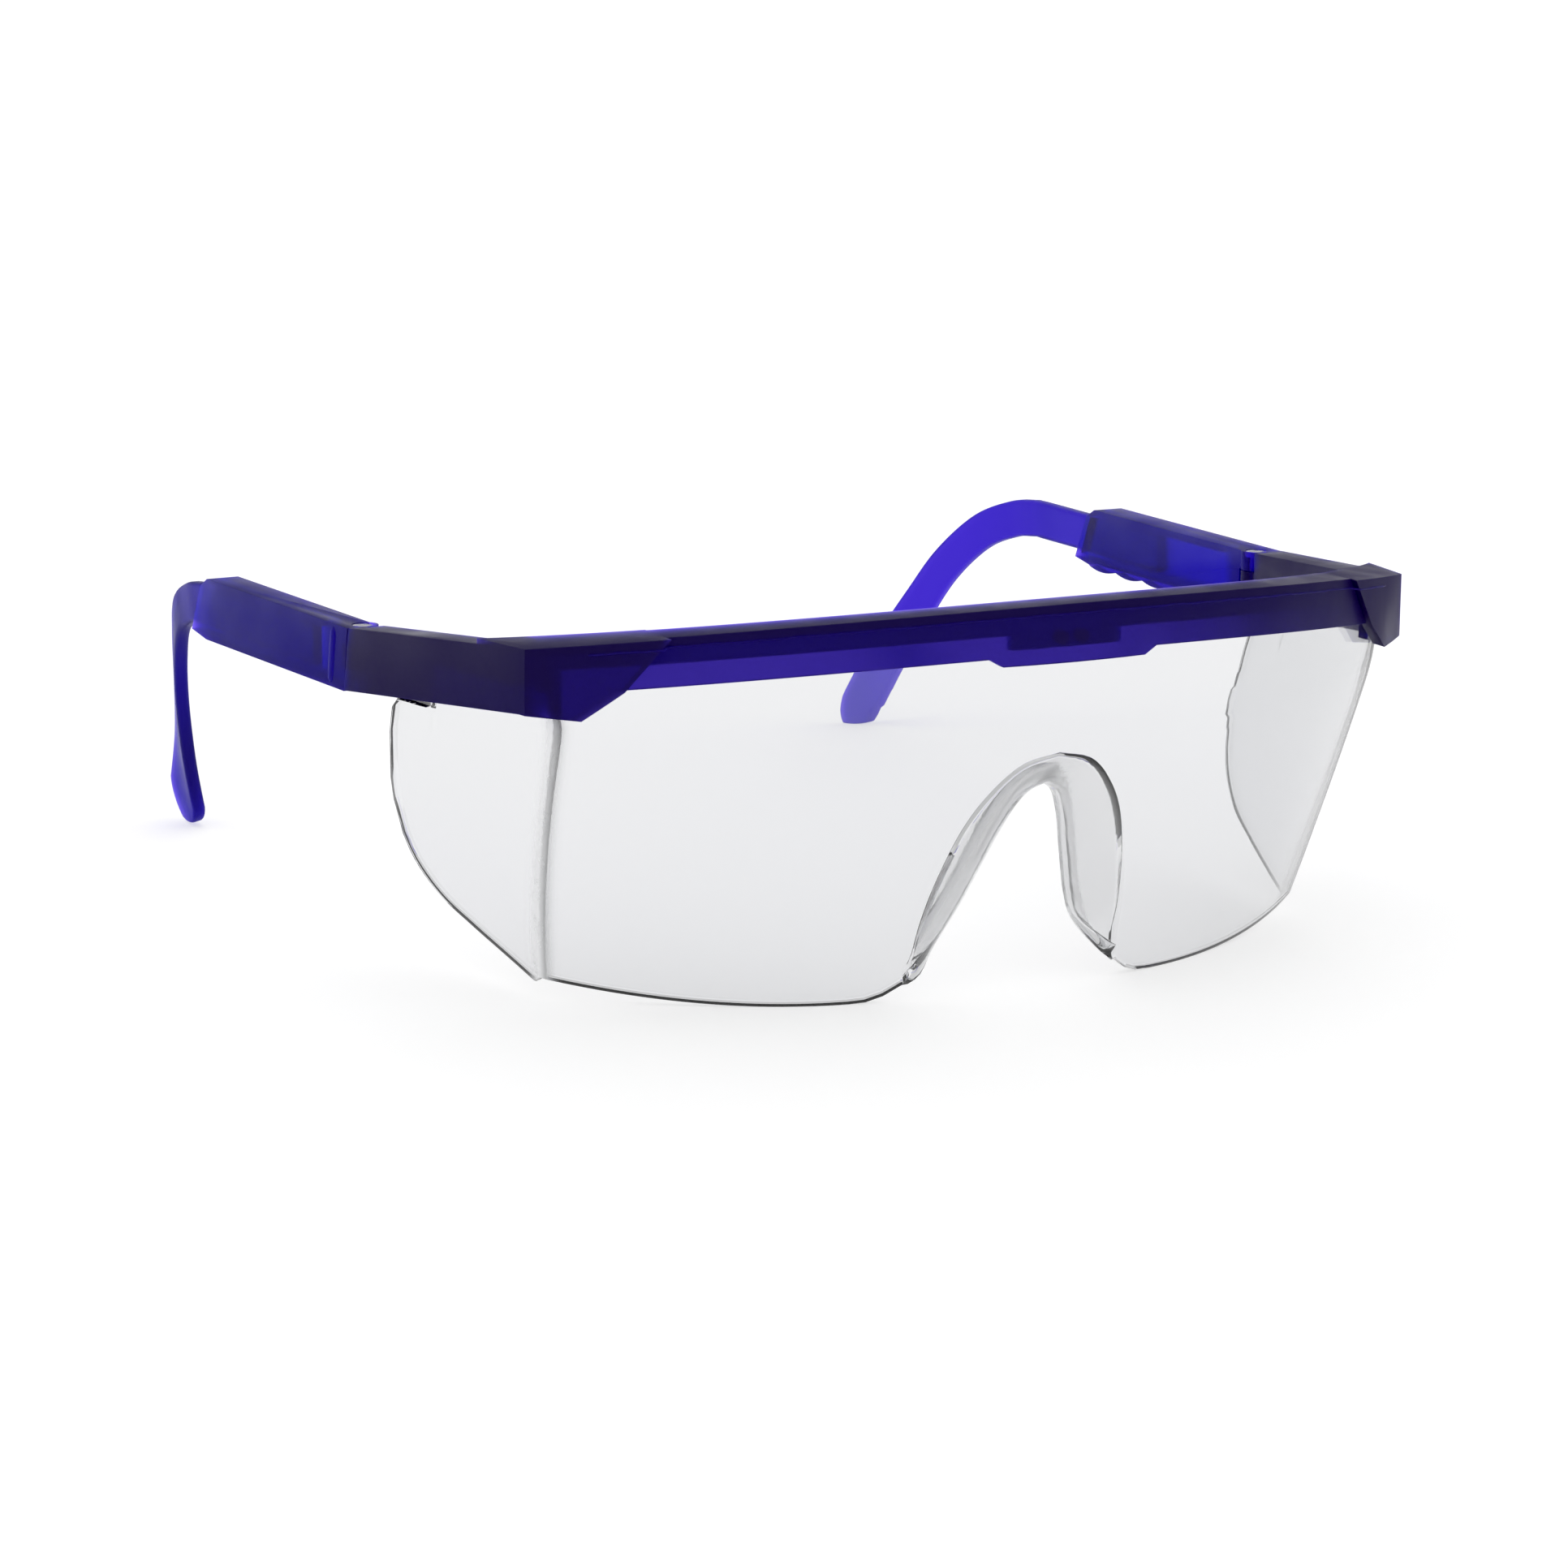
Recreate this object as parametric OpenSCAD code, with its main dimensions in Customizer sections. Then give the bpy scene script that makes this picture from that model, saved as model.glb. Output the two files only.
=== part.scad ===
// Wraparound safety glasses with a one-piece lens and telescopic temples.
// Millimetres, +Z up. The wearer looks along -Y and +X is the wearer's left.
// The glasses stand on the lens and the two ear hooks. The origin is on that
// surface, under the middle of their length and width.

/* [Front] */
// Length from the front of the brow to the back of the longer temple
overall_len = 174.8; // [170:0.1:185]
// Radius of the brow's curve, seen from above
brow_r = 98; // [96:0.5:102]
// Height of the brow's top edge at the middle
brow_z = 55; // [54:0.5:58]
// Height of the brow bar's face
brow_h = 6.45; // [5.5:0.05:7]
// Radius of the brow's arch, seen from the front
arch_r = 440; // [380:10:600]
// Depth of the brow bar, front to back
brow_depth = 4.8; // [4.6:0.1:6]

/* [Side arms] */
// Distance from the middle to each front corner
corner_x = 66.9; // [66.5:0.1:67.5]
// Height of a side arm
side_h = 8.5; // [8:0.1:9]
// Downward slope of a side arm, in degrees
side_slope = 5.25; // [4.5:0.25:6]
// Thickness of a side arm
side_t = 4.8; // [4.6:0.1:5.2]

/* [Lens] */
// Thickness of the lens
lens_t = 2; // [1.6:0.1:2.2]
// Backward slope of the lower lens, in degrees
lens_slope = 19; // [17:1:22]
// Height of the nose opening
nose_h = 29.6; // [27:0.2:31]
// Depth of the nose rim behind the lens
nose_depth = 5; // [3:0.5:7]

/* [Temples] */
// Thickness of the sliding arm
arm_t = 2; // [1.6:0.1:2.2]
// Width of the sliding arm
arm_w = 5.7; // [5:0.1:5.8]
// Distance between neighbouring length settings
detent_pitch = 8; // [6:0.5:8]
// Length setting of the wearer's left temple, 0 for the shortest
left_setting = 2; // [0:1:3]
// Length setting of the wearer's right temple, 0 for the shortest
right_setting = 0; // [0:1:3]

/* [Hidden] */
$fn = 96;

big = 200;                          // larger than any part, for cutting shapes
purple = [0.25, 0.18, 0.62];
clear = [0.85, 0.88, 0.9, 0.4];

// Brow, behind its front-most point
front_y = -overall_len / 2;
axis_y = front_y + brow_r;          // upright axis of all the front's curves
flare_r = brow_r + 1.2;             // the corner pieces stand proud of the bar
brow_inner_r = brow_r - brow_depth;
wall_r = brow_r - 1.1;              // inner side of the bar's front wall
lip_r = wall_r - lens_t - 0.2;      // front side of the rear lip
web_h = 1.6;
lip_h = 4;
clip_h = 6;                         // the rear lip is taller at the middle
clip_w = 16;
pad_top_w = 25.6;
pad_low_w = 21.2;
pad_drop = 1.25;
lip_x = 61;                         // beyond this the lip is part of the side arm
peg_r = 0.9;
peg_x = 1.5;
peg_z = brow_z - 4.6;

// Side arms
corner_y = axis_y - sqrt(flare_r * flare_r - corner_x * corner_x);
corner_z = brow_z - arch_r + sqrt(arch_r * arch_r - corner_x * corner_x);
flare_top_x = 51.6;                 // where the corner piece starts on the top edge
notch = [56.7, 44.9];               // its raised edge meets the bar's lower edge
flare_tip = [61.2, 40.9];           // its lowest point

// Hinge
hinge_x = 70.6;
hinge_y = front_y + 67.5;
hinge_z = 41.7;
hinge_tilt = 1.1;                   // slope of the temples
temple_splay = 1.5;                 // outward turn of the temples
outer_off = 3.2;                    // from the hinge axis to the temple's outer face
stop_gap = 0.15;
stop_y = -1.2;                      // front face of the sleeve, from the axis
stop_rake = 9;                      // lean of the joint line, in degrees
barrel_r = 2.1;
tongue_h = 3;
knuckle_gap = 0.12;
screw_r = 0.8;
screw_head_r = 1.4;
screw_head_h = 0.9;
side_end = [hinge_x + outer_off, hinge_y + stop_y];
side_turn = atan2(side_end.x - corner_x, side_end.y - corner_y);

// Lens
lens_r = wall_r - 0.1;
bend_z = 40;                        // the plumb upper band ends here
shield_at = [63.9, front_y + 24.5, 40];     // a point on the side shield's face
shield_lean = 10;
shield_tab_y = 28;                  // the tab that goes up into the side arm
shield_tab_z = 4;

// Sleeve, along its own Y from the hinge axis
sleeve_h = 8.7;
sleeve_t = 4.8;
sleeve_len = 44.8;
cavity_y = 8;
cavity_clear = 0.15;
scallops = 4;
scallop_r = 14.8;
scallop_y = 18;
arm_in_y = 11;                      // inner end of the arm at the shortest setting
arm_x = outer_off - sleeve_t / 2;   // middle of the sleeve, from the axis

// Ear hook of an arm at the shortest setting: [across, along, up, turn, width].
hook = [[0, 50.5, 0, 0, arm_w],
        [-0.6, 56.7, -0.9, 5, arm_w],
        [-2.2, 64.7, -3.9, 12, arm_w],
        [-4.7, 71.6, -9.8, 19, arm_w],
        [-7, 76.8, -17, 20, 6],
        [-9.9, 82.6, -26.6, 12, 7.6],
        [-12.1, 87.1, -35.0, -2, 9.4]];
hook_steps = 6;
cap_steps = 5;

// ---- helpers ----

module both() {
    children();
    mirror([1, 0, 0]) children();
}

// A front view outline pushed through the depth of the front.
module through_y(d = 60) {
    translate([0, front_y + d - 10, 0])
        rotate([90, 0, 0])
            linear_extrude(d) children();
}

// An upright ring around the front's axis, its front sector only.
module ring(inner, outer) {
    translate([0, axis_y, 0]) rotate([0, 0, 220])
        rotate_extrude(angle = 100) translate([inner, 35]) square([outer - inner, 25]);
}

module on_hinge(side) {
    translate([side * hinge_x, hinge_y, hinge_z])
        rotate([-hinge_tilt, 0, -side * temple_splay])
            mirror([side < 0 ? 1 : 0, 0, 0]) children();
}

// ---- brow frame ----

// Everything behind the raked joint line at the end of a side arm.
module behind_joint() {
    on_hinge(1) rotate([stop_rake, 0, 0])
        translate([-big / 2, stop_y - stop_gap, -big / 2]) cube(big);
}

// Everything on the inner side of the side arm's outer face.
module corner_side() {
    translate([corner_x, corner_y, 0]) rotate([0, 0, -side_turn])
        translate([-big, -big / 2, 0]) cube([big, big, big / 2]);
}

// Front view of everything below the top edge of the brow, or of a line under it.
module under_arch(drop = 0) {
    intersection() {
        translate([0, brow_z - drop - arch_r]) circle(arch_r, $fn = 360);
        translate([-90, 0]) square([180, 80]);
    }
}

module bar_outline() {
    low = brow_z - brow_h;
    difference() {
        translate([-notch.x - 1, 30]) square([2 * notch.x + 2, 30]);
        under_arch(brow_h);
    }
    polygon([[-pad_top_w / 2, low], [-pad_low_w / 2, low - pad_drop],
             [pad_low_w / 2, low - pad_drop], [pad_top_w / 2, low],
             [pad_low_w / 2, low + 2], [-pad_low_w / 2, low + 2]]);
}

module flare_outline() {
    polygon([[flare_top_x, 60], [flare_top_x, 52.2], notch, flare_tip,
             [corner_x + 5, flare_tip.y + 0.6], [corner_x + 5, 60]]);
}

module side_arm_blank() {
    run = side_end.y - corner_y + 12;
    intersection() {
        translate([corner_x, corner_y, 0]) rotate([0, 0, -side_turn])
            translate([-side_t, 0, 30]) cube([side_t, run, 30]);
        translate([0, corner_y, corner_z]) rotate([-side_slope, 0, 0])
            translate([big / 4, -2, -side_h]) cube([big / 4, run, side_h]);
    }
}

module side_arm() {
    difference() {
        side_arm_blank();
        behind_joint();
        on_hinge(1) {
            cylinder(h = 20, r = barrel_r + 0.25, center = true);
            translate([-10, -2.7, -10]) cube([10.6, 12, 20]);
        }
    }
}

// The tongue that sits between the sleeve's two knuckles.
module hinge_tongue() {
    on_hinge(1) translate([0, 0, -tongue_h / 2]) difference() {
        union() {
            cylinder(h = tongue_h, r = barrel_r);
            translate([-1.4, -6, 0]) cube([2.8, 6, tongue_h]);
        }
        translate([0, 0, -1]) cylinder(h = tongue_h + 2, r = screw_r + 0.06);
    }
}

// The groove for the lens: an arched slot, open below, with a shorter rear lip.
module lens_groove() {
    intersection() {
        ring(lip_r, wall_r);
        through_y() under_arch(web_h);
        between_shields(0.12);
    }
    intersection() {
        ring(brow_inner_r - 6, (lip_r + wall_r) / 2);
        through_y() difference() {
            under_arch(lip_h);
            translate([-clip_w / 2, brow_z - clip_h]) square([clip_w, 20]);
        }
        translate([-lip_x, -big / 2, 0]) cube([2 * lip_x, big, big / 2]);
    }
}

module shield_groove() {
    on_shield() translate([-lens_t - 0.1, -0.5, -12])
        cube([lens_t + 0.2, shield_tab_y + 0.8, 12 + shield_tab_z + 0.3]);
}

module front_blank() {
    intersection() {
        union() {
            intersection() { ring(brow_inner_r, brow_r); through_y() bar_outline(); }
            both() intersection() {
                ring(brow_inner_r - 0.3, flare_r);
                through_y() flare_outline();
                corner_side();
            }
            both() side_arm();
        }
        through_y(100) under_arch();
    }
}

module brow_frame() {
    color(purple) union() {
        difference() {
            front_blank();
            lens_groove();
            both() shield_groove();
        }
        both() hinge_tongue();
        for (x = [-peg_x, peg_x])
            translate([x, front_y + 4.2, peg_z]) rotate([90, 0, 0]) cylinder(h = 3.7, r = peg_r);
    }
}

// ---- lens ----

// Section of the lens, a plumb band over a backward slope, between two depths
// behind its front face.
module lens_profile(front, rear) {
    foot = lens_r - (bend_z + 2) * tan(lens_slope);
    polygon([[lens_r - front, 60], [lens_r - front, bend_z], [foot - front, -2],
             [foot - rear, -2], [lens_r - rear, bend_z], [lens_r - rear, 60]]);
}

module lens_shell(front, rear) {
    translate([0, axis_y, 0]) rotate([0, 0, 220])
        rotate_extrude(angle = 100) lens_profile(front, rear);
}

module on_shield() {
    translate(shield_at) rotate([0, 0, -side_turn]) rotate([0, shield_lean, 0]) children();
}

// Side view of a shield: a round rear, a sloping foot and a tab on top.
module shield_outline() {
    round_r = 11.5;
    mid = [28.9, -19];
    foot = 21;
    rear = 13;
    low = mid + (round_r - 0.02) * [sin(foot), -cos(foot)];
    high = mid + (round_r - 0.02) * [cos(rear), sin(rear)];
    translate(mid) circle(round_r);
    polygon([mid, low, low - 40 * [cos(foot), sin(foot)], [-12, -3],
             high + 13.5 * [-sin(rear), cos(rear)], high]);
    translate([-12, -8]) square([12 + shield_tab_y, 8 + shield_tab_z]);
}

module shield() {
    difference() {
        on_shield() rotate([90, 0, 90])
            translate([0, 0, -lens_t]) linear_extrude(lens_t) shield_outline();
        lens_shell(-30, lens_t / 2);
    }
}

// The space between the outer faces of the two side shields, or a little more.
module between_shields(extra = 0) {
    intersection_for (side = [0, 1]) mirror([side, 0, 0])
        on_shield() translate([extra - big, -big / 2, -big / 2]) cube(big);
}

module nose_opening(grow = 0) {
    top_r = 4.6 + grow;
    translate([0, nose_h - 4.6]) circle(top_r);
    polygon([[-top_r * 0.9, nose_h - 2.8], [top_r * 0.9, nose_h - 2.8],
             [top_r + 1.2, nose_h - 9], [14.2 + grow, 3], [15.6 + grow, -5],
             [-15.6 - grow, -5], [-14.2 - grow, 3], [-top_r - 1.2, nose_h - 9]]);
}

// Front view above the lens's lower edge, two shallow bows that touch the ground.
module foot_outline() {
    both() intersection() {
        translate([29, 146]) circle(146, $fn = 360);
        square([90, 60]);
    }
}

module lens() {
    color(clear) difference() {
        intersection() {
            union() {
                intersection() {
                    lens_shell(0, lens_t);
                    through_y() under_arch(web_h + 0.2);
                    between_shields();
                }
                both() shield();
                intersection() {
                    lens_shell(lens_t / 2, lens_t + nose_depth);
                    through_y() nose_opening(2.4);
                }
            }
            through_y(100) foot_outline();
        }
        through_y() nose_opening();
        for (x = [-peg_x, peg_x])
            translate([x, front_y + 10, peg_z]) rotate([90, 0, 0])
                cylinder(h = 12, r = peg_r + 0.05);
    }
}

// ---- temples ----

module sleeve_outline() {
    h = sleeve_h / 2;
    polygon([[-4, h], [sleeve_len, h], [sleeve_len + 2.4, h - 1.3],
             [sleeve_len + 5.6, -h + 0.8], [sleeve_len + 0.6, -h], [-4, -h]]);
}

// Rounded notches under the sleeve's inner half, one at each length setting.
module scallop_outline() {
    h = sleeve_h / 2;
    for (i = [0 : scallops - 1])
        intersection() {
            translate([scallop_y + i * detent_pitch, scallop_r - h - 0.55]) circle(scallop_r, $fn = 180);
            translate([scallop_y + (i - 0.5) * detent_pitch, -h - 2]) square([detent_pitch, 4]);
        }
}

module sleeve_solid() {
    difference() {
        union() {
            translate([outer_off - sleeve_t, 0, 0]) rotate([90, 0, 90])
                linear_extrude(sleeve_t) intersection() {
                    sleeve_outline();
                    translate([0, -10]) square([60, 20]);
                }
            translate([0.3, 0, 0]) rotate([90, 0, 90])
                linear_extrude(outer_off - 0.3) sleeve_outline();
            translate([0, 0, -sleeve_h / 2]) cylinder(h = sleeve_h, r = barrel_r);
            translate([outer_off - sleeve_t, 0, 0]) rotate([90, 0, 90])
                linear_extrude(sleeve_t / 2) scallop_outline();
        }
        rotate([stop_rake, 0, 0])
            translate([-10, stop_y - 20, -20]) cube([20, 20, 40]);
        translate([0, 0, -tongue_h / 2 - knuckle_gap]) {
            cylinder(h = tongue_h + 2 * knuckle_gap, r = barrel_r + 0.3);
            translate([-1.8, -10, 0]) cube([3.6, 10, tongue_h + 2 * knuckle_gap]);
            translate([-10, -10, 0]) cube([8.2, 12.5, tongue_h + 2 * knuckle_gap]);
        }
        translate([arm_x - arm_t / 2 - cavity_clear, cavity_y, -arm_w / 2 - cavity_clear])
            cube([arm_t + 2 * cavity_clear, 60, arm_w + 2 * cavity_clear]);
        cylinder(h = 20, r = screw_r + 0.05);
        translate([0, 0, sleeve_h / 2 - screw_head_h]) cylinder(h = 5, r = screw_head_r + 0.1);
        translate([0, 0, -20]) cylinder(h = 20, r = screw_r - 0.04);
    }
}

module temple_sleeve_left() { color(purple) on_hinge(1) sleeve_solid(); }
module temple_sleeve_right() { color(purple) on_hinge(-1) sleeve_solid(); }

// Slotted screw: clear through the upper knuckle, threaded into the lower one.
module screw_solid() {
    difference() {
        union() {
            translate([0, 0, -sleeve_h / 2]) cylinder(h = sleeve_h - screw_head_h, r = screw_r);
            translate([0, 0, sleeve_h / 2 - screw_head_h])
                cylinder(h = screw_head_h - 0.1, r = screw_head_r);
        }
        translate([-5, -0.2, sleeve_h / 2 - 0.5]) cube([10, 0.4, 2]);
    }
}

module hinge_screw_left() { color("silver") on_hinge(1) screw_solid(); }
module hinge_screw_right() { color("silver") on_hinge(-1) screw_solid(); }

// One value of a smooth curve through the hook's stations.
function spline(a, b, c, d, t) =
    0.5 * (2 * b + (c - a) * t + (2 * a - 5 * b + 4 * c - d) * t * t
           + (3 * b - a - 3 * c + d) * t * t * t);
function station(i) =
    i < 0 ? 2 * hook[0] - hook[1] :
    i >= len(hook) ? 2 * hook[len(hook) - 1] - hook[len(hook) - 2] : hook[i];
function hook_at(s) = let(i = min(floor(s), len(hook) - 2), t = s - i)
    spline(station(i - 1), station(i), station(i + 1), station(i + 2), t);
function place(s) = let(v = hook_at(s)) [v[0], v[1], v[2]];
function along(s) = let(v = place(s + 0.01) - place(s - 0.01)) v / norm(v);

// A section across the strip: a point, the strip's direction, its turn and width.
function section(p, dir, turn, width) =
    let(flat = [cos(turn), sin(turn), 0],
        out = flat - (flat * dir) * dir,
        n = out / norm(out),
        w = cross(dir, n),
        t = arm_t / 2, h = width / 2, e = min(0.5, width / 4))
    [for (q = [[t, h - e], [t - 0.5, h], [0.5 - t, h], [-t, h - e],
               [-t, e - h], [0.5 - t, -h], [t - 0.5, -h], [t, e - h]])
        p + q[0] * n + q[1] * w];

function straight(y) = section([0, y, 0], [0, 1, 0], 0, arm_w);
last = len(hook) - 1;
end_v = hook[last];
end_r = end_v[4] / 2;
function cap(a) = section(place(last) + end_r * sin(a) * along(last), along(last),
                          end_v[3], 2 * end_r * cos(a));

// The whole arm as one strip, swept from its inner end to its round tip.
module arm_solid(setting) {
    rings = concat([straight(arm_in_y)],
                   [for (i = [0 : last * hook_steps])
                       let(s = i / hook_steps, v = hook_at(s))
                       section(place(s), along(s), v[3], v[4])],
                   [for (i = [1 : cap_steps]) cap(i * 84 / cap_steps)]);
    n = len(rings);
    k = 8;
    translate([arm_x, setting * detent_pitch, 0])
        polyhedron([for (r = rings) each r],
                   concat([[for (j = [0 : k - 1]) j]],
                          [for (i = [0 : n - 2], j = [0 : k - 1])
                              let(a = i * k, b = a + k, m = (j + 1) % k)
                              each [[a + j, b + j, a + m], [a + m, b + j, b + m]]],
                          [[for (j = [k - 1 : -1 : 0]) (n - 1) * k + j]]));
}

module temple_arm_left() { color(purple) on_hinge(1) arm_solid(left_setting); }
module temple_arm_right() { color(purple) on_hinge(-1) arm_solid(right_setting); }

brow_frame();
lens();
temple_sleeve_left();
temple_sleeve_right();
temple_arm_left();
temple_arm_right();
hinge_screw_left();
hinge_screw_right();
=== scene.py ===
# Safety glasses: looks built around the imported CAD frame. Metres, +Z up, wearer looks along -Y.
import math

import bpy
import bmesh
from mathutils import Matrix, Vector


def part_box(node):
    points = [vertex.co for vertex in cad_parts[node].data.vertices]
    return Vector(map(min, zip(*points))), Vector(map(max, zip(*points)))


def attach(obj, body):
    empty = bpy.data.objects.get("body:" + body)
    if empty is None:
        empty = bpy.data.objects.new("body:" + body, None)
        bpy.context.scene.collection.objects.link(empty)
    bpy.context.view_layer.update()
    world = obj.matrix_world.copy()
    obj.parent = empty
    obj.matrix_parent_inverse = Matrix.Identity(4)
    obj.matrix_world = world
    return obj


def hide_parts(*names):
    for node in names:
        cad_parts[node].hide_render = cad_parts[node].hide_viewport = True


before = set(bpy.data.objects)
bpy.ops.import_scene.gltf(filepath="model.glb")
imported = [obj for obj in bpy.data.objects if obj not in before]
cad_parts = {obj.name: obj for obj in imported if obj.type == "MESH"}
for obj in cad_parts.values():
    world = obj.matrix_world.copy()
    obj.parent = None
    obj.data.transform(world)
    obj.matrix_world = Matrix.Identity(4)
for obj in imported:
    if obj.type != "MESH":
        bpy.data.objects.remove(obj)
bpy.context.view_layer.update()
MM = 0.001
FRONT_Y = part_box("brow_frame")[0].y / MM      # front of the brow, mm
AXIS_Y = FRONT_Y + 98.0                       # upright axis of the front's curves, mm


# ---------------------------------------------------------------- materials

def principled(name, **values):
    """A Principled material and its node tree, shader and output."""
    mat = bpy.data.materials.new(name)
    mat.use_nodes = True
    tree = mat.node_tree
    tree.nodes.clear()
    out = tree.nodes.new("ShaderNodeOutputMaterial")
    shader = tree.nodes.new("ShaderNodeBsdfPrincipled")
    for key, value in values.items():
        shader.inputs[key.replace("_", " ")].default_value = value
    tree.links.new(shader.outputs[0], out.inputs["Surface"])
    return mat, tree, shader, out


def noise(tree, scale, detail=2.0, rough=0.5, stretch=(1, 1, 1)):
    coords = tree.nodes.new("ShaderNodeTexCoord")
    mapping = tree.nodes.new("ShaderNodeMapping")
    mapping.inputs["Scale"].default_value = stretch
    tex = tree.nodes.new("ShaderNodeTexNoise")
    tex.inputs["Scale"].default_value = scale
    tex.inputs["Detail"].default_value = detail
    tex.inputs["Roughness"].default_value = rough
    tree.links.new(coords.outputs["Object"], mapping.inputs["Vector"])
    tree.links.new(mapping.outputs[0], tex.inputs["Vector"])
    return tex.outputs["Fac"]


def ramp(tree, source, low, high, a, b):
    """Maps source from low..high to a..b, clamped."""
    node = tree.nodes.new("ShaderNodeMapRange")
    node.inputs["From Min"].default_value = low
    node.inputs["From Max"].default_value = high
    node.inputs["To Min"].default_value = a
    node.inputs["To Max"].default_value = b
    tree.links.new(source, node.inputs["Value"])
    return node.outputs["Result"]


def bump(tree, shader, height, strength, distance):
    node = tree.nodes.new("ShaderNodeBump")
    node.inputs["Strength"].default_value = strength
    node.inputs["Distance"].default_value = distance
    tree.links.new(height, node.inputs["Height"])
    tree.links.new(node.outputs[0], shader.inputs["Normal"])


def violet_plastic(name, colour, density):
    """Dyed moulding: a hazy see-through body under a gloss skin. Its depth of colour comes from
    the way light is absorbed inside."""
    mat, tree, shader, out = principled(
        name, Base_Color=(0.25, 0.16, 1.0, 1), Transmission_Weight=0.95, IOR=1.13,
        Specular_IOR_Level=0.15, Specular_Tint=(0.2, 0.16, 1.0, 1),
        Coat_Weight=0.03, Coat_IOR=1.3, Coat_Roughness=0.06)
    body = tree.nodes.new("ShaderNodeVolumeAbsorption")
    body.inputs["Color"].default_value = colour
    body.inputs["Density"].default_value = density
    tree.links.new(body.outputs[0], out.inputs["Volume"])
    tree.links.new(ramp(tree, noise(tree, 90, 4), 0.35, 0.7, 0.3, 0.5), shader.inputs["Roughness"])
    bump(tree, shader, noise(tree, 260, 3), 0.1, 0.0003)
    return mat


def clear_plastic(name):
    mat, tree, shader, out = principled(
        name, Base_Color=(0.85, 0.855, 0.865, 1), IOR=1.58,
        Specular_IOR_Level=0.5)
    body = tree.nodes.new("ShaderNodeVolumeAbsorption")
    body.inputs["Color"].default_value = (0.2, 0.2, 0.22, 1)
    body.inputs["Density"].default_value = 45
    tree.links.new(body.outputs[0], out.inputs["Volume"])
    frost = tree.nodes.new("ShaderNodeAttribute")
    frost.attribute_name = "frost"
    grain = tree.nodes.new("ShaderNodeMath")
    grain.operation = "MULTIPLY"
    tree.links.new(frost.outputs["Fac"], grain.inputs[0])
    tree.links.new(ramp(tree, noise(tree, 700, 5, 0.6, (1, 1, 0.45)), 0.4, 0.62, 0, 1), grain.inputs[1])
    tree.links.new(ramp(tree, grain.outputs[0], 0, 1, 0.008, 0.5), shader.inputs["Roughness"])
    tree.links.new(ramp(tree, frost.outputs["Fac"], 0, 1, 1, 0.12), shader.inputs["Transmission Weight"])
    bump(tree, shader, grain.outputs[0], 0.2, 0.0002)
    return mat


def screw_steel(name):
    mat, tree, shader, _ = principled(name, Base_Color=(0.62, 0.62, 0.64, 1), Metallic=1.0)
    tree.links.new(ramp(tree, noise(tree, 900, 4), 0.3, 0.7, 0.18, 0.42), shader.inputs["Roughness"])
    bump(tree, shader, noise(tree, 1500, 3), 0.2, 0.0001)
    return mat


VIOLET = violet_plastic("violet_plastic", (0.54, 0.43, 0.84, 1), 1450)
VIOLET_FRONT = violet_plastic("violet_front", (0.34, 0.27, 0.61, 1), 2500)
CLEAR = clear_plastic("clear_polycarbonate")
STEEL = screw_steel("screw_steel")


# ---------------------------------------------------------------- mesh helpers

def spline(a, b, c, d, t):
    """Catmull-Rom value at t between b and c."""
    return 0.5 * (2 * b + (c - a) * t + (2 * a - 5 * b + 4 * c - d) * t * t
                  + (3 * b - a - 3 * c + d) * t ** 3)


def tube_faces(rings, around):
    """Faces of a closed tube of equal rings, with a flat cap at each end."""
    faces = []
    for i in range(rings - 1):
        for j in range(around):
            a, b, m = i * around, (i + 1) * around, (j + 1) % around
            faces.append([a + j, b + j, b + m, a + m])
    faces.append(list(range(around)))
    faces.append([(rings - 1) * around + j for j in reversed(range(around))])
    return faces


def mesh_object(name, verts, faces, mat, body):
    """A smooth shaded mesh from points in mm, riding on a body of the frame."""
    mesh = bpy.data.meshes.new(name)
    mesh.from_pydata([Vector(v) * MM for v in verts], [], faces)
    mesh.validate()
    work = bmesh.new()
    work.from_mesh(mesh)
    bmesh.ops.remove_doubles(work, verts=work.verts, dist=1e-7)
    bmesh.ops.recalc_face_normals(work, faces=work.faces)
    work.to_mesh(mesh)
    work.free()
    mesh.materials.append(mat)
    for p in mesh.polygons:
        p.use_smooth = True
    obj = bpy.data.objects.new(name, mesh)
    bpy.context.scene.collection.objects.link(obj)
    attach(obj, body)
    return obj


def soften(obj, width, segments=3, angle=28):
    """Rounds the sharp edges of a CAD solid without touching its own mesh."""
    weld = obj.modifiers.new("weld", "WELD")
    weld.merge_threshold = 2e-6
    flat = obj.modifiers.new("flat", "DECIMATE")
    flat.decimate_type = "DISSOLVE"
    flat.angle_limit = math.radians(0.6)
    bevel = obj.modifiers.new("bevel", "BEVEL")
    bevel.width = width * MM
    bevel.segments = segments
    bevel.limit_method = "ANGLE"
    bevel.angle_limit = math.radians(angle)
    bevel.harden_normals = True
    bevel.use_clamp_overlap = True
    bevel.miter_outer = "MITER_ARC"


def paint(node, mat):
    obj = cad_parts[node]
    obj.data.materials.clear()
    obj.data.materials.append(mat)
    for p in obj.data.polygons:
        p.use_smooth = True
    return obj


# ---------------------------------------------------------------- moulded parts kept from the CAD

soften(paint("brow_frame", VIOLET_FRONT), 0.4)
for side in ("left", "right"):
    soften(paint("temple_sleeve_" + side, VIOLET), 0.3)
    soften(paint("hinge_screw_" + side, STEEL), 0.12, 2)


# ---------------------------------------------------------------- lens

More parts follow.
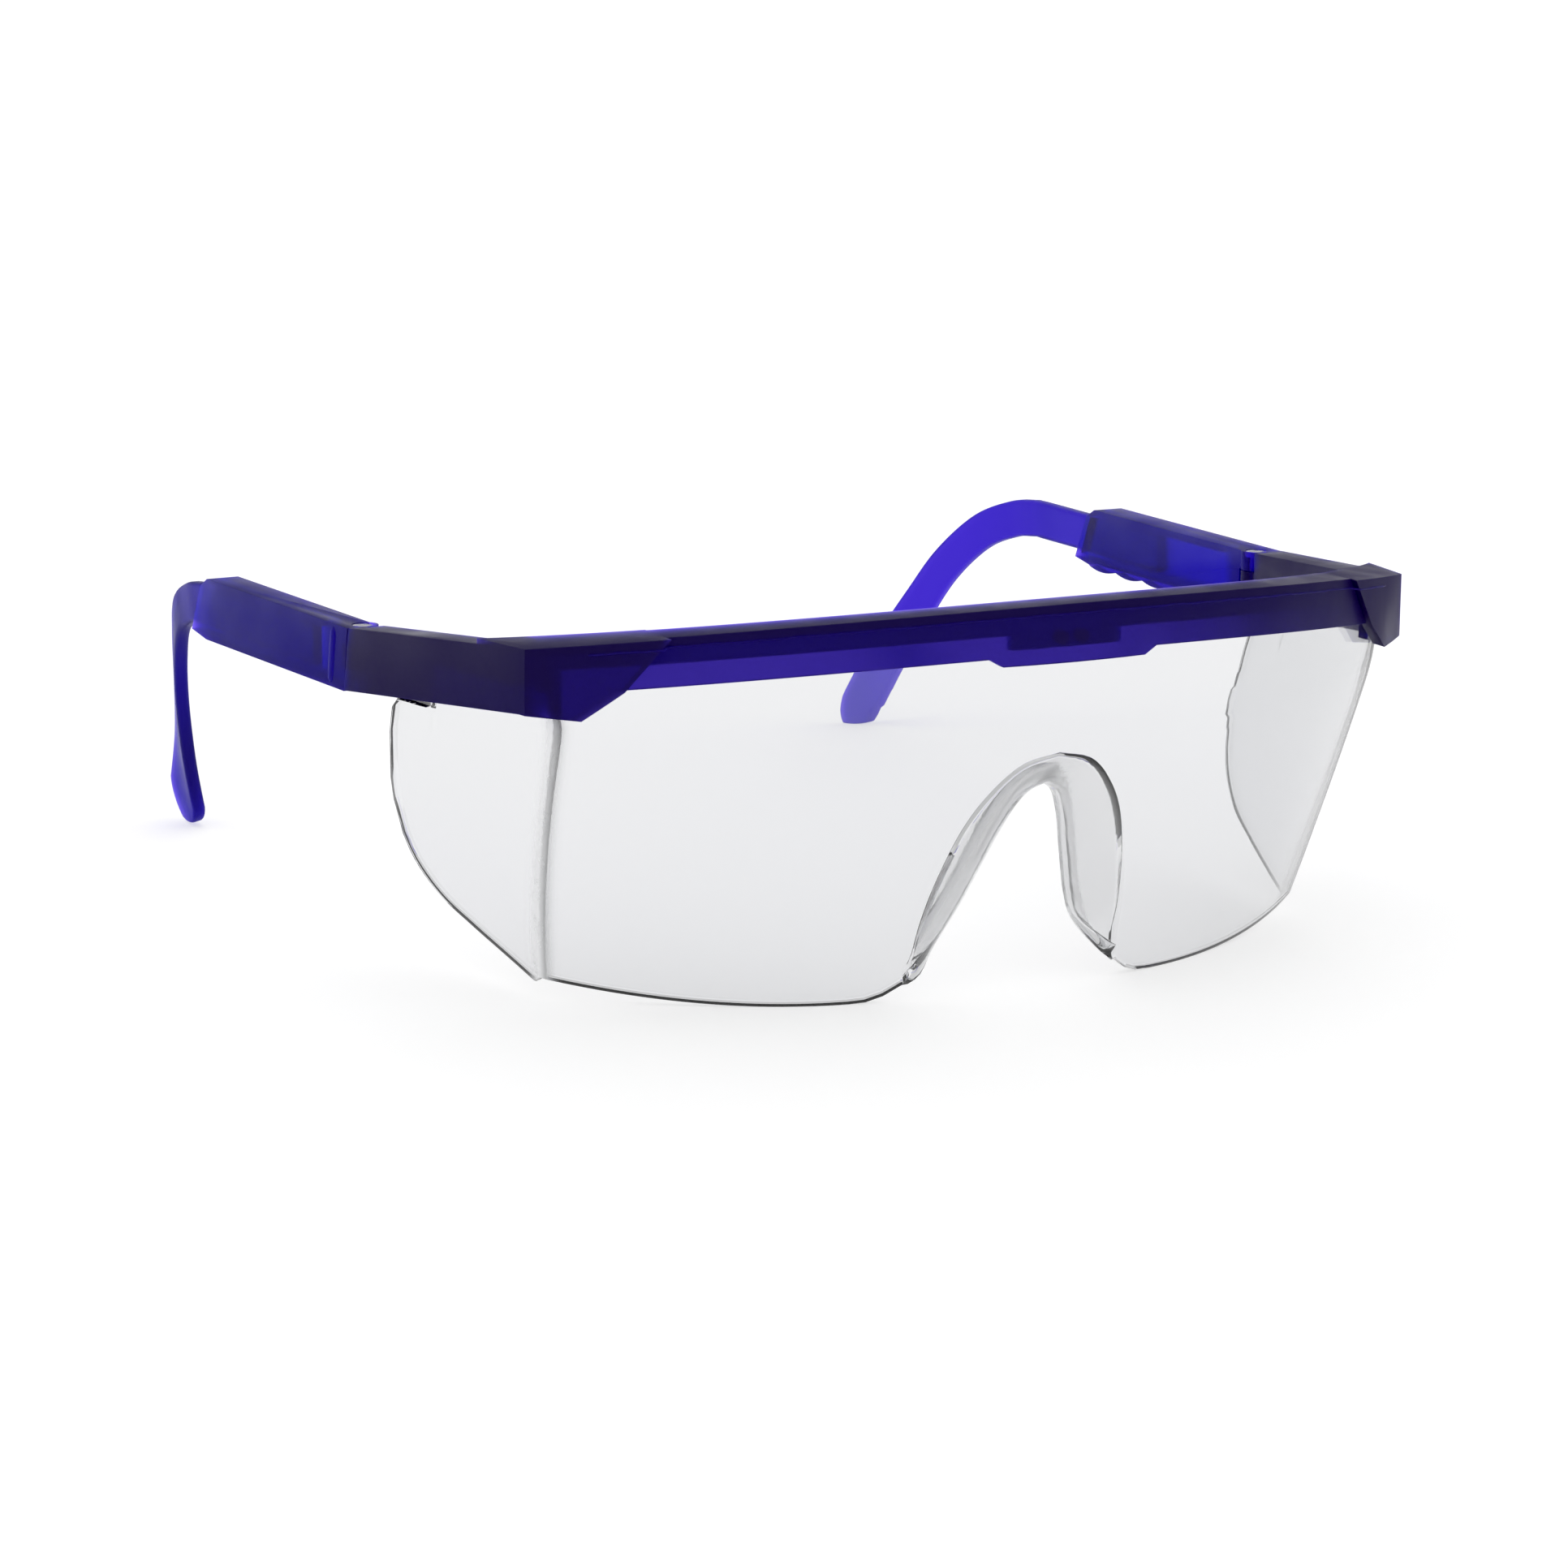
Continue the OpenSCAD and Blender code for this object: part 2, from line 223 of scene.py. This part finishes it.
LENS_R = 96.8                 # radius of the plumb upper band
BEND_Z = 38.7
SLOPE = math.tan(math.radians(19))
SIDE_TURN = math.radians(9.43)
LEAN = math.tan(math.radians(10))
SHIELD_X, SHIELD_Z = 63.9, 40.0
SHIELD_Y = FRONT_Y + 24.5
ALONG = Vector((math.sin(SIDE_TURN), math.cos(SIDE_TURN)))
SHIELD_END = 40.4             # rear end of a shield, along it
FOLD = 1.5                    # half width of the rounded fold between front and shield
FOLD_BOW = 0.8                # how far the fold bows in, away from its middle height
FOLD_MID, FOLD_HALF = 19, 20  # middle height of the fold and half its height
THICK = 2.0
FOOT_R, FOOT_X = 146, 29      # radius of each bow of the lower edge, and where it touches the ground
UPTURN = 2.1                  # rise of the lower edge beside the nose
UPTURN_FROM, UPTURN_RUN = 22, 5.5
BROW_TOP, BROW_ARCH = 55, 880 # height of the brow's middle, and how slowly it arches down
LENS_TOP = 53.2


def front_radius(z):
    d = BEND_Z - z
    return LENS_R - SLOPE * (d + math.sqrt(d * d + 4)) / 2


def fold_point(z):
    """Where the front meets the side shield at this height: x, y and the angle round the axis."""
    r = front_radius(z)
    k = math.tan(SIDE_TURN)
    bow = FOLD_BOW * min(1, ((z - FOLD_MID) / FOLD_HALF) ** 2)
    out = SHIELD_X - bow + LEAN * (z - SHIELD_Z) / math.cos(SIDE_TURN) - SHIELD_Y * k
    # x = out + k * y  and  x^2 + (y - AXIS_Y)^2 = r^2, the root in front of the axis
    c = out + k * AXIS_Y
    qa, qb, qc = 1 + k * k, 2 * c * k, c * c - r * r
    w = (-qb - math.sqrt(qb * qb - 4 * qa * qc)) / (2 * qa)
    return c + k * w, AXIS_Y + w, math.atan2(c + k * w, -w)


def raw_point(s, z):
    """Point of the lens's outer face, s mm from the fold: negative on the front, positive on the shield."""
    x, y, turn = fold_point(z)
    if s <= 0:
        r = front_radius(z)
        return Vector((r * math.sin(turn + s / r), AXIS_Y - r * math.cos(turn + s / r), z))
    return Vector((x + s * ALONG.x, y + s * ALONG.y, z))


def lens_point(s, z):
    if abs(s) > FOLD:
        return raw_point(s, z)
    steps = 12
    total = Vector((0, 0, 0))
    for i in range(steps):
        total += raw_point(s + FOLD * (2 * (i + 0.5) / steps - 1), z)
    return total / steps


def frosting(s, z):
    """How frosted the lens is made, rougher, paler and less clear: only along the fold, and more so low
    down.
    """
    return math.exp(-(s / 1.3) ** 2) * (0.6 + 0.4 * max(0, 1 - z / 36))


def front_s(x, z):
    """Distance from the fold of the front's point at this x."""
    r = front_radius(z)
    return r * (math.asin(min(0.999, x / r)) - fold_point(z)[2])


def foot_z(x):
    """Lower edge of the front: a shallow bow that turns up beside the nose."""
    bow = FOOT_R - math.sqrt(FOOT_R ** 2 - (abs(x) - FOOT_X) ** 2)
    return bow + UPTURN * max(0, (UPTURN_FROM - abs(x)) / UPTURN_RUN) ** 2


def top_z(x):
    return LENS_TOP - x * x / BROW_ARCH


PER_SPAN = 40                 # points worked out between two given ones


def smooth_line(points, n):
    """n + 1 points evenly along a Catmull-Rom curve through a few points."""
    pts = [Vector(p) for p in points]
    pts = [2 * pts[0] - pts[1]] + pts + [2 * pts[-1] - pts[-2]]
    dense = []
    for i in range(1, len(pts) - 2):
        a, b, c, d = pts[i - 1:i + 3]
        for k in range(PER_SPAN):
            t = k / PER_SPAN
            dense.append(spline(a, b, c, d, t))
    dense.append(pts[-2])
    run = [0.0]
    for p, q in zip(dense, dense[1:]):
        run.append(run[-1] + (q - p).length)
    out, j = [], 0
    for i in range(n + 1):
        want = run[-1] * i / n
        while j < len(run) - 2 and run[j + 1] < want:
            j += 1
        t = (want - run[j]) / max(run[j + 1] - run[j], 1e-9)
        out.append(dense[j].lerp(dense[j + 1], t))
    return out


# Nose bridge, half of each outline from the foot up to its top: x, z.
NOSE_COLUMNS = 30
NOSE_OUTER = smooth_line([(16.5, 2.6), (15.6, 6), (15.2, 11), (14.2, 17), (12.1, 24), (9.2, 29),
                          (5.2, 32.8), (0, 34.1)], NOSE_COLUMNS)
NOSE_INNER = smooth_line([(15.7, 2.7), (13.8, 4), (11.3, 7.4), (8.7, 12.7), (6.5, 19), (4.8, 24.3),
                          (2.9, 28.2), (0, 29.7)], NOSE_COLUMNS)
NOSE_DEPTH = 4.6
NOSE_FLANGE = 6.2

# Outline of a shield behind the fold, from its foot round the rear to the top: distance, height.
SHIELD_EDGE = [(8, 0.4), (17.4, 4.2), (25.7, 7.4), (32.4, 10.3), (37.2, 14.2), (39.7, 18.8),
               (40.4, 24), (39.8, 29.5), (38.6, 34), (37.6, 36.2), (36.3, 37)]
SHIELD_TOP = [(28.6, 37), (28.0, 37.6), (27.7, 43.5), (8, 44), (-8, 49)]


def heights(line, path):
    """Lowest and highest point where a nearly upright path meets a line of points.
    The path gives a distance for a height."""
    found = []
    for p, q in zip(line, line[1:]):
        u, v = p.x - path(p.y), q.x - path(q.y)
        if (u < 0) != (v < 0):
            found.append((p + (q - p) * (u / (u - v))).y)
    return min(found), max(found)


ROWS = [0, 0.006, 0.018, 0.045] + [0.09 + 0.91 * i / 24 for i in range(23)] + [0.982, 0.994, 1]


def lens_mesh():
    """The lens's outer face: columns of points from the lower edge up, with the nose rows below them."""
    verts, frost, faces = [], [], []

    def add(p, side, f=0.0):
        verts.append((p.x * side, p.y, p.z))
        frost.append(f)
        return len(verts) - 1

    def front_column(side, share, low):
        column = []
        x0 = share * fold_point(low)[0]
        high = top_z(x0)
        for t in ROWS:
            z = low + (high - low) * t
            s = front_s(share * fold_point(z)[0], z)
            column.append(add(lens_point(s, z), side, frosting(s, z)))
        return column

    def shield_column(side, g, edge):
        def path(z):
            x, y, _ = fold_point(max(z, 0))
            at = (Vector((x - SHIELD_X, y - SHIELD_Y))).dot(ALONG)
            return at + g * (SHIELD_END - at)
        low, high = heights(edge, path)
        column = []
        for t in ROWS:
            z = low + (high - low) * t
            x, y, _ = fold_point(z)
            s = g * (SHIELD_END - Vector((x - SHIELD_X, y - SHIELD_Y)).dot(ALONG))
            column.append(add(lens_point(s, z), side, frosting(s, z)))
        return column

    def nose_rows(side, inner, outer):
        rows = []
        steps = 9
        for k in range(1, steps + 3):
            turn = math.pi / 2 * min(k, steps) / steps
            rise = min(1, max(0, (outer.y - 2.6) / 11))
            taper = rise * rise * (3 - 2 * rise)
            share = min(k, steps) / steps
            flat = outer.lerp(inner, share + taper * (math.sin(turn) - share))
            depth = taper * (NOSE_DEPTH * (1 - math.cos(turn))
                             + (NOSE_FLANGE - NOSE_DEPTH) * max(0, k - steps) / 2)
            r = front_radius(flat.y)
            y = AXIS_Y - math.sqrt(r * r - flat.x ** 2) + depth
            rows.append(add(Vector((flat.x, y, flat.y)), side, 0.25 * taper))
        return rows

    edge = smooth_line(SHIELD_EDGE, 240) + [Vector(p) for p in SHIELD_TOP]
    for side in (1, -1):
        columns = []
        for outer, inner in zip(reversed(NOSE_OUTER), reversed(NOSE_INNER)):
            share = outer.x / fold_point(outer.y)[0]
            column = front_column(side, share, outer.y)
            columns.append(list(reversed(nose_rows(side, inner, outer))) + column)
        start = NOSE_OUTER[0].x / fold_point(NOSE_OUTER[0].y)[0]
        n = 34
        for i in range(1, n + 1):
            t = i / n
            share = start + (1 - start) * (1 - (1 - t) ** 1.9)
            low = 3.0
            for _ in range(4):
                low = foot_z(share * fold_point(low)[0])
            columns.append(front_column(side, share, low))
        n = 32
        for i in range(1, n + 1):
            t = i / n
            g = 0.9985 * (0.5 * t ** 2 + 0.5 * (1 - (1 - t) ** 2.2))
            columns.append(shield_column(side, g, edge))
        for a, b in zip(columns, columns[1:]):
            low = a[max(0, len(a) - len(b)):]
            for k in range(len(b) - 1):
                quad = (low[k], b[k], b[k + 1], low[k + 1])
                faces.append(quad if side > 0 else quad[::-1])
    return verts, faces, frost


def thicken(verts, faces, frost, thick, bulge, rings=4):
    """Gives a sheet its thickness behind it, with a rounded rim. Returns the closed mesh."""
    vs = [Vector(v) for v in verts]
    keys, index, points, shares = {}, [], [], []
    for v, f in zip(vs, frost):
        key = (round(v.x, 4), round(v.y, 4), round(v.z, 4))
        if key not in keys:
            keys[key] = len(points)
            points.append(v)
            shares.append(f)
        index.append(keys[key])
    sheet = []
    for f in faces:
        g = [index[i] for i in f]
        g = [i for k, i in enumerate(g) if i != g[k - 1]]
        if len(g) > 2:
            sheet.append(g)
    normals = [Vector((0, 0, 0)) for _ in points]
    edges = set()
    for f in sheet:
        n = Vector((0, 0, 0))
        for a, b, c in zip(f, f[1:] + f[:1], f[2:] + f[:2]):
            n += (points[b] - points[a]).cross(points[c] - points[b])
        for i in f:
            normals[i] += n
        for a, b in zip(f, f[1:] + f[:1]):
            edges.add((a, b))
    for n in normals:
        n.normalize()
    rim = sorted((a, b) for a, b in edges if (b, a) not in edges)
    n = len(points)
    allp = points + [p - m * thick for p, m in zip(points, normals)]
    shares = shares + shares
    out = sheet + [[i + n for i in reversed(f)] for f in sheet]
    away = {}
    for a, b in rim:
        d = (points[b] - points[a]).normalized()
        for i in (a, b):
            away[i] = away.get(i, Vector((0, 0, 0))) + d.cross(normals[i])
    ring = {}
    for i, w in away.items():
        w.normalize()
        line = [i]
        for k in range(1, rings):
            turn = math.pi * k / rings
            allp.append(points[i] + w * bulge * math.sin(turn)
                        - normals[i] * thick * (1 - math.cos(turn)) / 2)
            shares.append(0.0)
            line.append(len(allp) - 1)
        ring[i] = line + [i + n]
    for a, b in rim:
        for k in range(rings):
            out.append([ring[a][k], ring[a][k + 1], ring[b][k + 1], ring[b][k]])
    return allp, out, shares


def add_share(obj, name, values):
    layer = obj.data.attributes.new(name, "FLOAT", "POINT")
    layer.data.foreach_set("value", values)


points, faces, shares = thicken(*lens_mesh(), THICK, 0.35)
lens = mesh_object("clear_lens_shield", points, faces, CLEAR, "front")
add_share(lens, "frost", shares)
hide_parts("lens")


# ---------------------------------------------------------------- temple arms

# Stations of an ear hook from the hinge axis: across, along, up, turn in degrees, width.
HOOK = [(0, 50.5, 0, 0, 5.7), (-0.6, 56.7, -0.9, 5, 5.7), (-2.2, 64.7, -3.9, 12, 5.7),
        (-4.7, 71.6, -9.8, 19, 5.7), (-7, 76.8, -17, 20, 6), (-9.9, 82.6, -26.6, 12, 7.6),
        (-12.1, 87.1, -35.0, -2, 9.4)]
ARM_T = 2.0
HINGE = Vector((70.6, FRONT_Y + 67.5, 41.7))
ACROSS = 0.8                  # middle of the arm, from the hinge axis


def temple_matrix(side):
    turn = Matrix.Rotation(math.radians(-side * 1.5), 4, "Z") @ Matrix.Rotation(math.radians(-1.1), 4, "X")
    return (Matrix.Translation((side * HINGE.x, HINGE.y, HINGE.z)) @ turn
            @ Matrix.Diagonal((side, 1, 1, 1)))


def hook_at(s):
    i = min(int(s), len(HOOK) - 2)
    t = s - i

    def station(k):
        if k < 0:
            return [2 * a - b for a, b in zip(HOOK[0], HOOK[1])]
        if k >= len(HOOK):
            return [2 * a - b for a, b in zip(HOOK[-1], HOOK[-2])]
        return HOOK[k]
    return [spline(a, b, c, d, t) for a, b, c, d in zip(*(station(i + k) for k in (-1, 0, 1, 2)))]


def strip_section(width):
    """Rounded section of the strip, as across and up offsets, starting at the outer face."""
    t, h, r = ARM_T / 2, width / 2, min(0.6, width / 2.4)
    n, corner, half = 7, 4, []
    for i in range(n):
        half.append((t, (h - r) * (2 * i / (n - 1) - 1)))
    for i in range(1, corner + 1):
        a = math.pi / 2 * i / corner
        half.append((t - r * (1 - math.cos(a)), h - r * (1 - math.sin(a))))
    half = half + [(-x, y) for x, y in reversed(half)]
    bottom = []
    for i in range(1, corner):
        a = math.pi / 2 * i / corner
        bottom.append((-t + r * (1 - math.cos(a)), -h + r * (1 - math.sin(a))))
    bottom.append((-t + r, -h))
    under = bottom + [(-x, y) for x, y in reversed(bottom)]
    return half + under


def temple_arm(side, setting, name, node, body):
    place = temple_matrix(side) @ Matrix.Translation((ACROSS, setting * 8, 0))
    rings = []
    last = len(HOOK) - 1

    def ring(p, direction, turn, width):
        flat = Vector((math.cos(math.radians(turn)), math.sin(math.radians(turn)), 0))
        n = (flat - direction * flat.dot(direction)).normalized()
        w = direction.cross(n)
        rings.append([place @ (p + n * a + w * b) for a, b in strip_section(width)])

    def direction(s):
        a, b = hook_at(max(0, s - 0.01)), hook_at(min(last, s + 0.01))
        return Vector([q - p for p, q in zip(a[:3], b[:3])]).normalized()

    for y in (11.2, 11.5, 20, 30, 40, 48):
        ring(Vector((0, y, 0)), Vector((0, 1, 0)), 0, 5.7 - (0.5 if y < 11.4 else 0))
    steps = 12
    for i in range(last * steps + 1):
        v = hook_at(i / steps)
        ring(Vector(v[:3]), direction(i / steps), v[3], v[4])
    end, along = HOOK[-1], direction(last)
    for i in range(1, 15):
        a = math.radians(86 * i / 14)
        r = end[4] / 2
        ring(Vector(end[:3]) + along * r * math.sin(a), along, end[3], 2 * r * math.cos(a))
    k = len(rings[0])
    verts = [p for r in rings for p in r]
    arm = mesh_object(name, verts, tube_faces(len(rings), k), VIOLET, body)
    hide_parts(node)


temple_arm(1, 2, "ear_arm_left", "temple_arm_left", "left_arm")
temple_arm(-1, 0, "ear_arm_right", "temple_arm_right", "right_arm")


# ---------------------------------------------------------------- parting line of the brow

def brow_ridge():
    """A fine raised line 1.3 mm under the brow's top edge, left by the mould."""
    verts = []
    n, k, r = 150, 8, 0.13
    for i in range(n + 1):
        x = -60.5 + 121 * i / n
        proud = 98.02 if abs(x) < 52.2 else 99.22
        z = BROW_TOP - x * x / BROW_ARCH - 1.3 - 0.05 * math.sin(x * 0.9) * math.sin(x * 0.31)
        y = AXIS_Y - math.sqrt(proud ** 2 - x * x)
        lean = math.asin(x / proud)
        for j in range(k):
            a = 2 * math.pi * j / k
            out = r * math.cos(a)
            verts.append((x + out * math.sin(lean), y - out * math.cos(lean), z + r * math.sin(a)))
    mesh_object("brow_parting_line", verts, tube_faces(n + 1, k), VIOLET_FRONT, "front")


brow_ridge()


# ---------------------------------------------------------------- ridge over each hinge knuckle

def knuckle_ridge(side, name, body):
    """A low rounded rib down the sleeve's outer face, leaning with the joint line."""
    place = temple_matrix(side)
    verts = []
    n, k, wide, proud, h, lean = 12, 9, 0.75, 0.32, 3.95, math.tan(math.radians(9))
    for i in range(n + 1):
        t = 2 * i / n - 1
        size = math.sqrt(max(0.02, 1 - abs(t) ** 8))
        for j in range(k):
            a = math.pi * j / (k - 1)
            verts.append(place @ Vector((3.19 + proud * size * math.sin(a),
                                         3.1 - t * h * lean + wide * size * math.cos(a), t * h)))
        verts.append(place @ Vector((3.0, 3.1 - t * h * lean, t * h)))
    mesh_object(name, verts, tube_faces(n + 1, k + 1), VIOLET, body)


knuckle_ridge(1, "knuckle_ridge_left", "left_temple")
knuckle_ridge(-1, "knuckle_ridge_right", "right_temple")


# ---------------------------------------------------------------- stage

def stage_and_light():
    mat = principled("floor_white", Base_Color=(0.55, 0.55, 0.55, 1), Roughness=0.9,
                     Emission_Color=(1, 1, 1, 1), Emission_Strength=0.52)[0]
    mesh = bpy.data.meshes.new("floor")
    s = 20.0
    mesh.from_pydata([(-s, -s, 0), (s, -s, 0), (s, s, 0), (-s, s, 0)], [], [(0, 1, 2, 3)])
    mesh.materials.append(mat)
    floor = bpy.data.objects.new("floor", mesh)
    bpy.context.scene.collection.objects.link(floor)
    world = bpy.data.worlds.new("studio")
    bpy.context.scene.world = world
    world.use_nodes = True
    # A soft white tent, a little darker towards the horizon.
    tree = world.node_tree
    tree.nodes["Background"].inputs["Color"].default_value = (1, 1, 1, 1)
    coords = tree.nodes.new("ShaderNodeTexCoord")
    split = tree.nodes.new("ShaderNodeSeparateXYZ")
    tree.links.new(coords.outputs["Generated"], split.inputs[0])
    tree.links.new(ramp(tree, split.outputs["Z"], 0.3, 0.6, 0.7, 1.0),
                   tree.nodes["Background"].inputs["Strength"])

    light = bpy.data.lights.new("back_panel", "AREA")
    light.shape = "RECTANGLE"
    light.size, light.size_y = 1.7, 0.5
    light.energy = 8
    panel = bpy.data.objects.new("back_panel", light)
    bpy.context.scene.collection.objects.link(panel)
    panel.location = (0.73, 1.4, 0.42)
    panel.rotation_euler = (Vector((0, 0, 0.04)) - panel.location).to_track_quat("-Z", "Y").to_euler()
    # The panel only lights: it isn't seen, mirrored in the lens or seen through it.
    panel.visible_camera = False
    panel.visible_glossy = False
    panel.visible_transmission = False


def camera():
    az, el, roll = math.radians(-28), math.radians(12.3271), math.radians(0.7032)
    back = Vector((math.sin(az) * math.cos(el), -math.cos(az) * math.cos(el), math.sin(el)))
    right = Vector((math.cos(az), math.sin(az), 0))
    up = back.cross(right)
    r = right * math.cos(roll) + up * math.sin(roll)
    u = up * math.cos(roll) - right * math.sin(roll)
    target = Vector((-42.27, FRONT_Y + 0.5, 34.97)) * MM
    cam = bpy.data.cameras.new("camera")
    cam.sensor_width = 36
    cam.lens = 36 * 6724.8 / 1932
    cam.clip_start, cam.clip_end = 0.01, 50
    obj = bpy.data.objects.new("camera", cam)
    bpy.context.scene.collection.objects.link(obj)
    turn = Matrix((r, u, back)).transposed()
    obj.matrix_world = Matrix.Translation(target + back * 0.68657) @ turn.to_4x4()
    bpy.context.scene.camera = obj


stage_and_light()
camera()
look = bpy.context.scene.view_settings
look.view_transform = "Standard"
look.use_curve_mapping = True
look.curve_mapping.black_level = (0.004, 0.004, 0.004)
